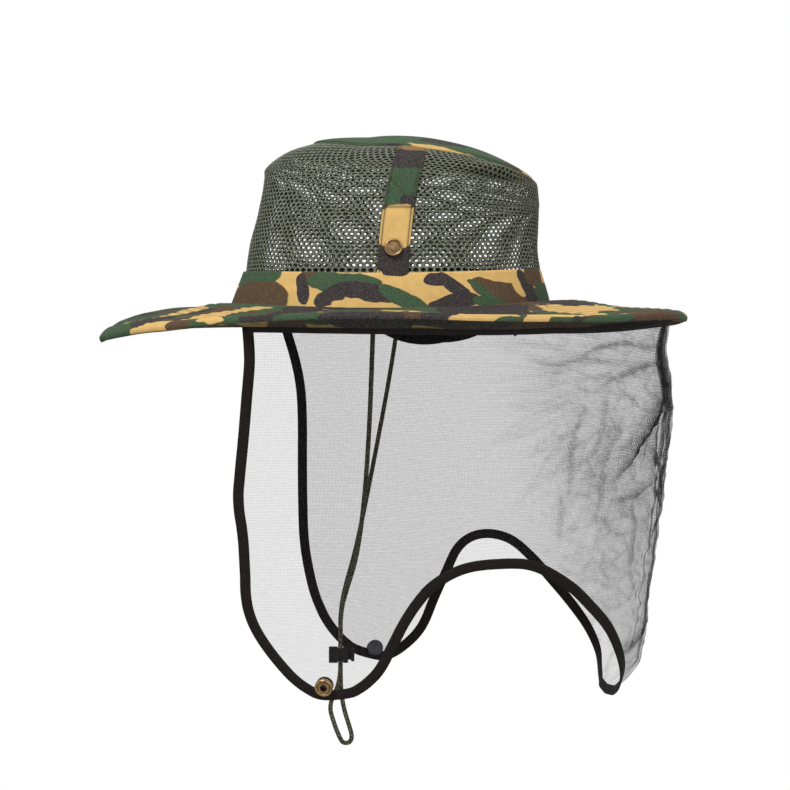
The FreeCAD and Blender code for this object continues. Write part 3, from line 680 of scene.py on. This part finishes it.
def crown_point(angle, t, out=0.0):
    """The crown's side, from under the hatband (t = 0) to the top seam (t = 1)."""
    rings = crown_rings(angle)
    stack = np.stack([2 * rings[0] - rings[1]] + rings + [2 * rings[-1] - rings[-2]])
    t = np.asarray(t, float)
    span = np.clip(np.searchsorted(RING_STEPS, t, side="right") - 1, 0, len(RING_STEPS) - 2)
    local = ((t - RING_STEPS[span]) / (RING_STEPS[span + 1] - RING_STEPS[span]))[..., None]
    pick = np.arange(len(span))
    p = smooth_between(*(stack[span + k, pick] for k in range(4)), local)
    outward = np.stack([np.cos(angle) / 90, np.sin(angle) / 77, 0 * angle], axis=-1)
    outward /= np.linalg.norm(outward, axis=-1, keepdims=True)
    lift = smoothstep(0.68, 1.0, t)[..., None]
    outward = outward * (1 - lift) + np.array([0, 0, 1.0]) * lift
    outward /= np.linalg.norm(outward, axis=-1, keepdims=True)
    slack = np.sin(np.pi * np.clip(t, 0, 1)) ** 0.8
    dents = 1.5 * MM * ripple(p, 28, 9.0) * slack + 0.5 * MM * ripple(p, 75, 3.0) * slack
    # one soft fold slants under the seam at the back of each side, with a roll above it
    turned = np.abs(np.mod(angle + np.pi, 2 * np.pi) - np.pi)
    across = np.exp(-((turned - 0.78) / 0.36) ** 2)
    line = 0.80 - 0.10 * (turned - 0.78)
    dents += MM * across * (1.8 * np.exp(-((t - line - 0.075) / 0.05) ** 2)
                            - 4.2 * np.exp(-((t - line) / 0.045) ** 2))
    return p + outward * (dents + out)[..., None]


def add_crown_mesh():
    """The knit as real strands: a hexagonal ring of cloth round every hole."""
    around, rows = 130, 41
    corner = [math.radians(30 + 60 * k) for k in range(6)]
    cell_u, cell_t = 2 * math.pi / around, 1.0 / rows
    for name, front, replaced in (("crown_mesh_front_knit", True, "crown_mesh_front"),
                                  ("crown_mesh_rear_knit", False, "crown_mesh_rear")):
        params, lifts, faces, index = [], [], [], {}

        def vertex(u, t, lift, key=None):
            if key is not None and key in index:
                return index[key]
            params.append((u, t))
            lifts.append(lift)
            if key is not None:
                index[key] = len(params) - 1
            return len(params) - 1

        for row in range(rows):
            for column in range(around):
                u = (column + 0.5 * (row % 2)) * cell_u
                t = (row + 0.5) * cell_t
                if (math.cos(u) < 0.03) != front:
                    continue
                drift = RNG.normal(0, 0.035, 2)
                size = RNG.uniform(0.50, 0.66) * (1 - 0.15 * smoothstep(0.84, 0.96, t))
                outer, inner = [], []
                for a in corner:
                    ou = u + cell_u * 0.5 * math.cos(a) / math.cos(math.pi / 6)
                    ot = t + cell_t * (2 / 3) * math.sin(a)
                    key = (round(ou / cell_u * 4), round(ot / cell_t * 6))
                    outer.append(vertex(ou, ot, 0.30 * MM, key))
                    inner.append(vertex(u + cell_u * (0.575 * size * math.cos(a) + drift[0]),
                                        t + cell_t * (0.667 * size * math.sin(a) + drift[1]), 0.0))
                for k in range(6):
                    n = (k + 1) % 6
                    faces.append((outer[k], outer[n], inner[n], inner[k]))
        params, lifts = np.array(params), np.array(lifts)
        p = crown_point(params[:, 0], np.clip(params[:, 1], 0, 1.0), lifts)
        obj = make_piece(name, p, faces, KNIT)
        set_values(obj, "ridge", lifts / lifts.max())
        thicken(obj, 0.5 * MM, 0)
        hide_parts(replaced)


def add_crown_top():
    columns, rows = 160, 36
    angle = np.tile(np.linspace(0, 2 * math.pi, columns, endpoint=False), rows)
    r = np.repeat(np.linspace(1, 0.0, rows) ** 0.9, columns)
    x = PANEL_CENTRE[0] + PANEL_HALF[0] * np.cos(angle) * r
    y = PANEL_HALF[1] * np.sin(angle) * r
    z = seam_height(x) + (10.2 * (1 - r ** 2) ** 0.8) * MM
    p = np.stack([x, y, z + 0.6 * MM], axis=-1)
    p[:, 2] += 1.0 * MM * ripple(p, 30, 2.0) * (1 - r ** 3)
    faces = grid_faces(rows, columns, True)
    obj = make_piece("crown_top_cloth", p, faces, CAMO_TOP, p[:, :2])
    thicken(obj, 0.8 * MM, 1)
    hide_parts("crown_top_panel")

    # the seam's turned allowance, a narrow roll all round
    around = 8
    angle = np.linspace(0, 2 * math.pi, columns, endpoint=False)
    middle = seam_point(angle) + (0, 0, 0.2 * MM)
    ring = roll_points(angle, middle, 1.1 * MM, 0.8 * MM, around)
    faces = roll_faces(around, columns)
    obj = make_piece("crown_seam_roll", ring, faces, CAMO_TOP, ring[:, :2])
    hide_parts("crown_seam_tape")


def band_point(angle, v):
    """The hatband's face, v = 0 at the brim to 1 at its top edge; it flares most at the front."""
    flare = 1 + np.clip(-np.cos(angle), 0, 1) ** 2
    a = 98.4 + 1.9 * flare * (1 - v) ** 1.3 - 4.4 * v + 0.4 * np.sin(np.pi * v)
    b = 84.8 + 1.0 * (1 - v) ** 1.6 - 4.0 * v + 0.4 * np.sin(np.pi * v)
    z = head_height(angle) / MM + 22.4 * v
    return np.stack([a * np.cos(angle) - 1.0, b * np.sin(angle), z], axis=-1) * MM


BAND_RADIUS, BAND_CLOTH = 98.0, 22.8


def add_hatband():
    columns, rows = 280, 18
    angle = np.tile(np.linspace(0.5 * math.pi, 2.5 * math.pi, columns), rows)
    v = np.repeat(np.linspace(0, 1, rows), columns)
    p = band_point(angle, v)
    p[:, :2] *= (1 + 0.004 * ripple(p, 26, 6.0))[:, None]
    # the cloth's coordinates start at the middle of the wearer's left side: along the chord
    # on that side, and round the band beyond it
    turned = angle - 1.5 * math.pi
    beyond = np.clip(np.abs(turned) - math.pi / 2, 0, None) * BAND_RADIUS
    along = BAND_RADIUS * np.sin(np.clip(turned, -math.pi / 2, math.pi / 2)) + np.sign(turned) * beyond
    uv = np.stack([along, v * BAND_CLOTH], axis=-1) * MM
    obj = make_piece("hatband_cloth", p, grid_faces(rows, columns), BAND_PRINT, uv)
    thicken(obj, 1.2 * MM, -1)
    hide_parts("hatband")


STRAP_HALF, STRAP_TALL = 9.5, 88


def add_strap(name, side, replaced):
    """A band of cloth over the mesh, leaning back towards the top seam."""
    rows, columns = 110, 41
    v = np.repeat(np.linspace(0.02, 1, rows), columns)
    w = np.tile(np.linspace(-1, 1, columns), rows)
    x = -0.5 + 13.5 * v ** 1.6 + w * STRAP_HALF * (1 - 0.06 * v)
    angle = side * np.arccos(np.clip((x - 6 * v) / (91 - 4 * v), -1, 1))
    slant = v + 0.10 * w
    fold = 1.1 * np.exp(-((slant - 0.52) / 0.035) ** 2) - 0.8 * np.exp(-((slant - 0.575) / 0.03) ** 2)
    p = crown_point(angle, v * 0.995, (1.5 * (1 - 0.3 * w ** 4) + fold) * MM)
    p[:, 0] = x * MM
    uv = np.stack([w * STRAP_HALF, v * STRAP_TALL], axis=-1) * MM
    obj = make_piece(name, p, grid_faces(rows, columns), STRAP_PRINT, uv)
    lines = [(np.abs(w) - 0.84) / 0.06, (v - 0.445) / 0.008, (slant - 0.548) / 0.010]
    set_values(obj, "stitching", sum(np.exp(-line ** 2) for line in lines))
    thicken(obj, 0.9 * MM, 0)
    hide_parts(replaced)


# -------------------- chin cord
CORD_X = -33.5  # where its two runs hang side by side
GAP = 1.55  # half the distance between them
CORD_ROUTE = [
    (-12.0, -86.4, -10.2), (-12.8, -78.0, -34.0), (-14.5, -62.0, -74.0), (-17.5, -41.0, -116.0),
    (-22.5, -18.0, -155.0), (-29.5, -5.5, -177.0), (CORD_X, -GAP, -192.0), (CORD_X + 0.06, -GAP, -214.0),
    (CORD_X, -GAP, -236.0), (-41.0, -GAP - 0.3, -250.0), (-37.2, -GAP - 0.5, -262.5),
    (-34.0, -GAP - 0.3, -270.5), (-31.8, -0.8, -274.3), (-27.5, 0.8, -274.3), (-26.0, GAP, -270.2),
    (-28.3, GAP + 0.4, -262.8), (-31.5, GAP + 0.3, -252.5), (-33.4, GAP, -240.0), (CORD_X, GAP, -222.0),
    (CORD_X + 0.06, GAP, -207.0), (CORD_X, GAP, -192.0), (-31.0, 4.5, -177.0), (-24.4, 19.0, -155.0),
    (-16.0, 41.0, -114.0), (-8.0, 61.0, -72.0), (-1.0, 77.5, -33.0), (2.3, 86.4, -10.2),
]
CORD_WIDE = 2.9 * MM


def add_cord():
    data = bpy.data.curves.new("chin_cord_braid", "CURVE")
    data.dimensions = "3D"
    route = data.splines.new("NURBS")
    route.points.add(len(CORD_ROUTE) - 1)
    for point, place in zip(route.points, CORD_ROUTE):
        point.co = (*[c * MM for c in place], 1)
    route.order_u = 3
    route.use_endpoint_u = True
    route.resolution_u = 12
    data.bevel_depth = CORD_WIDE / 2
    data.bevel_resolution = 3
    data.use_fill_caps = True
    cord = bpy.data.objects.new("chin_cord_braid", data)
    bpy.context.collection.objects.link(cord)
    data.materials.append(CORD)
    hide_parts("chin_cord")
    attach(cord, "hat")


# -------------------- head net
SIDE, SLOPE_X, SLOPE_Z = 156.85, -0.1393, 0.2651  # the side panel's plane, as in the solids


def side_y(x, z):
    return SIDE - SLOPE_X * x + SLOPE_Z * z


TOP_HALF = np.array([174.0, 160.0])
HEM_WIDE, HEM_THICK = 6.4, 1.5
TOP_TAPE_WIDE, TOP_TAPE_THICK = 5.0, 1.6
# the hem tape's middle line, seen from the side: down the front edge, then back under the lobe
FRONT = {
    -1: [(-83.5, -14), (-82.6, -34), (-84.4, -54), (-87, -80), (-89.6, -103), (-90.5, -118), (-88.2, -138),
         (-87.3, -160), (-86.6, -177), (-82, -192), (-72, -208), (-58, -224), (-45, -232), (-34, -233.5)],
    1: [(-75.5, -11), (-68, -30), (-64, -50), (-62.6, -72), (-62.3, -98), (-61.8, -125), (-60.5, -152),
        (-57, -173), (-52, -191), (-43.5, -208), (-31, -221.5), (-18, -228.5)],
}
BOTTOM = {
    -1: [(-34, -233.5), (-21, -229), (-9, -218), (-1, -203), (6, -189), (13.5, -177), (24, -165),
         (41, -155.5), (62, -152.3), (82, -154), (103, -166), (117, -179.5), (127.5, -192)],
    1: [(-18, -228.5), (-4, -229), (9, -221.5), (19.5, -210), (27.5, -192), (36, -174), (43, -160),
        (52, -152), (65, -149.3), (80, -153), (93.5, -164), (106, -178), (119, -193.5)],
}
BACK_CORNER = {
    -1: [(134.5, -80, -206), (138.5, -66, -220), (138.5, -45, -232), (136.5, -18, -239), (134.5, 0, -240)],
    1: [(129, 78, -208), (134.5, 62, -222), (134, 38, -234), (133, 15, -239.5), (134.5, 0, -240)],
}
BACK_LINE = [(171.5, -11), (171.3, -24), (171.5, -34), (174, -46), (174.8, -62), (173, -82), (171, -98),
             (168, -120), (165.5, -145), (162.8, -166), (159.5, -190), (155.5, -212), (149, -226),
             (134.5, -240)]


def net_boundaries(side, across, down):
    """The four edges of one half; `across` and `down` are where its columns and rows fall."""
    front = np.array([(x, side * side_y(x, z), z) for x, z in FRONT[side]], float)
    start = math.acos(FRONT[side][0][0] / TOP_HALF[0])
    angle = np.linspace(start, 0, 1000) * side
    top = np.stack([TOP_HALF[0] * np.cos(angle), TOP_HALF[1] * np.sin(angle), 0 * angle], axis=1)
    reach = np.hypot(top[:, 0] / (EDGE[0] / MM), top[:, 1] / (EDGE[1] / MM))
    top[:, 2] = brim_point(angle, np.clip((reach - 0.5) / 0.5, 0, 1), 3 * MM)[:, 2] / MM - 0.8
    front[0] = top[0]
    bottom = [(x, side * min(side_y(x, z), side_y(70, z) - 0.45 * max(x - 70, 0)), z)
              for x, z in BOTTOM[side]]
    bottom = np.array(bottom + BACK_CORNER[side], float)
    back = np.array([(x, 0.0, z) for x, z in BACK_LINE], float)
    back[0], back[-1] = top[-1], bottom[-1]
    return through(top, across), through(bottom, across), through(front, down), through(back, down)


# creases of the net towards the back: points from end to end, half width, depth
FOLDS = {
    -1: [([(168, -42), (164, -49), (153.5, -68), (146, -80), (138.5, -92.5), (128, -106)], 2.4, 3.0),
         ([(159, -72), (154.5, -84), (155, -96), (157.5, -107)], 1.7, 1.3),
         ([(153, -70), (149, -88), (147, -100)], 1.7, 1.1),
         ([(112, -30), (120, -26.5), (138, -24), (152, -26), (162, -24)], 1.8, 1.3),
         ([(122, -50), (129, -45), (148, -37.5), (157, -35), (168, -34)], 2.2, 1.2),
         ([(126, -52), (124.7, -60), (122.6, -74), (117.8, -88), (106, -98)], 3.2, 0.5),
         ([(128, -117), (138, -115.5), (149, -110.5), (157, -105)], 1.8, 1.4),
         ([(143, -112), (141, -124), (142, -138), (140, -154), (143, -170)], 2.0, 0.9),
         ([(158, -190), (149, -198), (141, -205), (133, -216)], 2.6, 1.6),
         ([(97, -110), (98, -124), (97, -140)], 3.0, 0.35)],
    1: [([(92, -30), (110, -34), (130, -30), (150, -34)], 3.0, 0.6),
        ([(128, -62), (120, -90), (118, -120)], 3.0, 0.5),
        ([(152, -70), (140, -100), (134, -140)], 3.0, 0.6),
        ([(108, -202), (120, -210), (136, -216)], 1.6, 1.6)],
}


def distance_to(line, x, z):
    """Distance from points to a smooth line in the side view, and how far along it they are."""
    path = through(line, 40)
    gap = np.hypot(x[..., None] - path[:, 0], z[..., None] - path[:, 1])
    return gap.min(axis=-1), gap.argmin(axis=-1) / 39.0


PLEATS, PLEAT_COLUMNS, PLEAT_SHARE = 2, 54, 0.05  # folds of the net in the middle of the back
# their depth at shares of the way down
PLEAT_DEPTHS = [(0, 2.6), (0.08, 4.2), (0.18, 4.4), (0.28, 2.4), (0.45, 2.2), (0.52, 1.4), (1, 0.8)]


def net_sheet(side, across=250, down=150):
    """A smooth sheet spanned between its four edges, with the folds of a hanging net.
    Returns its points and how dense the net looks at each of them."""
    columns = np.concatenate([np.linspace(0, 1 - PLEAT_SHARE, across, endpoint=False),
                              np.linspace(1 - PLEAT_SHARE, 1, PLEAT_COLUMNS)])
    rows = np.linspace(0, 1, down)
    top, bottom, front, back = net_boundaries(side, columns, rows)
    u, v = columns[None, :, None], rows[:, None, None]
    ruled = (1 - v) * top[None] + v * bottom[None] + (1 - u) * front[:, None] + u * back[:, None]
    corners = ((1 - u) * (1 - v) * top[0] + u * (1 - v) * top[-1]
               + (1 - u) * v * bottom[0] + u * v * bottom[-1])
    p = ruled - corners
    u, v = u[..., 0] + 0 * v[..., 0], v[..., 0] + 0 * u[..., 0]
    inside = np.clip(np.sin(np.pi * np.clip(v, 0, 1)), 0, 1) ** 0.5 * smoothstep(0, 0.04, u)
    x, y, z = p[..., 0].copy(), p[..., 1].copy(), p[..., 2].copy()
    out = np.stack([(np.clip(x, 0, None) / 170) ** 3, side * ((np.abs(y) / 130) ** 3 + 0.02), 0 * x],
                   axis=-1)
    out /= np.linalg.norm(out, axis=-1, keepdims=True)

    flat = np.stack([x, y, z], axis=-1).reshape(-1, 3)
    # fans of fine creases spread from where the net is bunched at the back of the brim
    reach, turn = np.hypot(168 - x, z + 34), np.arctan2(z + 34, 168 - x)
    rays = np.stack([turn * 9, reach * 0.012, 0 * reach], axis=-1).reshape(-1, 3)
    fan = 1 - np.abs(ripple(rays, 1.0, 5.0 + side).reshape(x.shape)) * 2.2
    fan_here = smoothstep(30, 60, reach) * (1 - smoothstep(90, 170, reach)) * smoothstep(40, 110, x)
    crumple = 1 - np.abs(ripple(flat * (0.6, 0.6, 1.5), 0.055, 3.0 + side).reshape(x.shape)) * 2.6
    fine = ripple(flat * (0.7, 0.7, 1.3), 0.16, 8.0 + side).reshape(x.shape)
    broad = ripple(flat, 0.02, 3.0 + side).reshape(x.shape)
    rear = smoothstep(70, 150, x)
    height = 1.8 * broad + 1.2 * np.clip(fan, -1, 1) * fan_here + (1.3 * crumple + 0.5 * fine) * rear
    close = 1.0 + 0.34 * smoothstep(60, 176, x) + 0.22 * smoothstep(150, 178, x)
    close += 0.45 * np.clip(fan, 0, 1) ** 4 * fan_here + 0.75 * np.clip(crumple, 0, 1) ** 5 * rear
    close += 0.50 * np.clip(fine, 0, 1) * rear
    rough = (0.9 * ripple(flat, 0.13, 21.0) + 0.5 * ripple(flat, 0.4, 2.0)).reshape(x.shape)
    for line, half, depth in FOLDS[side]:
        gap, along = distance_to(line, x, z)
        gap = np.abs(gap + rough)
        strength = np.sin(np.pi * np.clip(along, 0.03, 0.97)) ** 0.6 * depth
        height += 2.4 * strength * np.exp(-(gap / half) ** 2)
        close += 2.4 * strength * np.exp(-(gap / (0.58 * half)) ** 2)
        close += 0.45 * strength * np.exp(-(gap / (2.0 * half)) ** 2)
    gathers = smoothstep(0.70, 0.90, u) * (1 - 0.4 * v)
    height += 0.8 * gathers * np.sin(u * 150 + 3 * np.sin(v * 5 + side))
    sheet = p + out * (height * inside)[..., None]
    # the middle of the back is bunched in upright pleats, deepest below the brim
    within = np.clip((u - 1 + PLEAT_SHARE) / PLEAT_SHARE, 0, 1)
    line = through(PLEAT_DEPTHS, 200)
    deep = np.interp(v, line[:, 0], line[:, 1]) * smoothstep(0, 0.15, within)
    upright = np.stack([v * 6, u * 0, v * 0 + side], axis=-1).reshape(-1, 3)
    wander = 0.9 * ripple(upright, 1.0, 2.0).reshape(x.shape)
    swing = 0.5 - 0.5 * np.cos(2 * np.pi * (PLEATS * within + wander * within * (1 - within)))
    sheet[..., 0] -= deep * (swing + 0.3 * wander * within * (1 - within))
    sheet[..., 1] *= 1 - 0.35 * smoothstep(0, 0.5, within) * (1 - v)
    return sheet, close + 0.3 * smoothstep(0.1, 0.5, within)


def outward_at(p, side):
    n = np.stack([np.clip(p[:, 0] - 40, 0, None) ** 3 / 130 ** 3 + 0.1, side * (np.abs(p[:, 1]) / 100) ** 3,
                  0 * p[:, 0]], axis=1)
    n[:, 0] *= np.where(p[:, 0] > 40, 1, -1)
    n /= np.linalg.norm(n, axis=1, keepdims=True)
    n[:, 2] = -0.25
    return n / np.linalg.norm(n, axis=1, keepdims=True)


def ribbon(path, outward, width, thick):
    """A folded tape centred on a path."""
    along = np.gradient(path, axis=0)
    along /= np.linalg.norm(along, axis=1, keepdims=True)
    inward = np.cross(outward, along)
    inward /= np.linalg.norm(inward, axis=1, keepdims=True)
    normal = np.cross(along, inward)
    rings = []
    for k in range(12):
        c, s = math.cos(2 * math.pi * k / 12), math.sin(2 * math.pi * k / 12)
        a, b = math.copysign(abs(c) ** 0.5, c) * width / 2, math.copysign(abs(s) ** 0.7, s) * thick / 2
        rings.append(path + inward * a + normal * b)
    points = np.stack(rings, axis=1).reshape(-1, 3)
    n, m = len(path), len(rings)
    faces = grid_faces(n, m, True)
    faces += [tuple(range(m))[::-1], tuple((n - 1) * m + c for c in range(m))]
    return points, faces


# a line down each front corner, seen from the side: its top end and its bottom end
CREASE = {-1: ((-88.0, -26.0), (24.0, -183.0)), 1: ((-73.0, -26.0), (34.0, -180.0))}


def bend_at_crease(obj, side):
    (x0, z0), (x1, z1) = CREASE[side]
    middle = np.array([(x0 + x1) / 2, 0, (z0 + z1) / 2])
    middle[1] = side * side_y(middle[0], middle[2])
    along = np.array([x1 - x0, side * (side_y(x1, z1) - side_y(x0, z0)), z1 - z0])
    normal = np.array([SLOPE_X, side, -SLOPE_Z])
    away = np.cross(along, normal)
    away *= -np.sign(away[0]) / np.linalg.norm(away)
    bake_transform(obj)


def run_length(points, axis):
    """Distance along a grid of points from its first row or column."""
    steps = np.linalg.norm(np.diff(points, axis=axis), axis=-1)
    start = np.zeros_like(np.take(steps, [0], axis=axis))
    return np.concatenate([start, np.cumsum(steps, axis=axis)], axis=axis)


def add_veil():
    for side, word in ((-1, "left"), (1, "right")):
        sheet, close = net_sheet(side)
        down, across = sheet.shape[:2]
        drop = run_length(sheet, 0)
        along = np.broadcast_to(run_length(sheet, 1).mean(axis=0), drop.shape)
        uv = np.stack([along, drop], axis=-1).reshape(-1, 2) * MM
        faces = grid_faces(down, across)
        net = make_piece("net_%s_half" % word, sheet.reshape(-1, 3) * MM, faces, NET, uv, None)
        set_values(net, "closeness", close)
        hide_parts("net_%s_side" % word, "net_%s_corner" % word, "net_rear")

        front, bottom = sheet[:, 0], sheet[-1]
        path = through(np.vstack([front[::6], bottom[6:-PLEAT_COLUMNS:6], bottom[-1:]]), 260)
        points, faces = ribbon(path, outward_at(path, side) * -side, HEM_WIDE, HEM_THICK)
        hem = make_piece("hem_%s_tape" % word, points * MM, faces, TAPE, body=None)
        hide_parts("hem_%s_arch" % word, "hem_%s_corner" % word, "hem_rear")

        top = through(sheet[0], 120)
        top[:, 2] -= 0.8
        points, faces = ribbon(top, outward_at(top, side) * side, TOP_TAPE_WIDE, TOP_TAPE_THICK)
        tape = make_piece("veil_top_tape_%s" % word, points * MM, faces, TAPE)
        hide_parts("veil_top_tape")
        for piece in (net, hem):
            bend_at_crease(piece, side)


# -------------------- pieces kept from the solids
def dress(names, material):
    for name in names:
        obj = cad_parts[name]
        obj.data.materials.clear()
        obj.data.materials.append(material)


add_camera()
add_studio()
add_cord()
add_brim()
add_crown_mesh()
add_crown_top()
add_hatband()
add_strap("side_strap_left_cloth", -1, "side_strap_left")
add_strap("side_strap_right_cloth", 1, "side_strap_right")
add_veil()
dress(["sweatband", "sweatband_flap_left", "sweatband_flap_right", "sweatband_rear_tab"], LINING)
dress(["crown_snap_stud_left", "crown_snap_stud_right", "crown_snap_post_left", "crown_snap_post_right",
       "snap_socket_left", "snap_socket_right"], BRASS)
dress(["snap_cap_left", "snap_cap_right"], GUNMETAL)
dress(["cord_lock_body", "cord_lock_plunger"], PLASTIC)
dress(["cord_lock_spring"], STEEL)
dress(["cord_anchor_left", "cord_anchor_right"], TAPE)
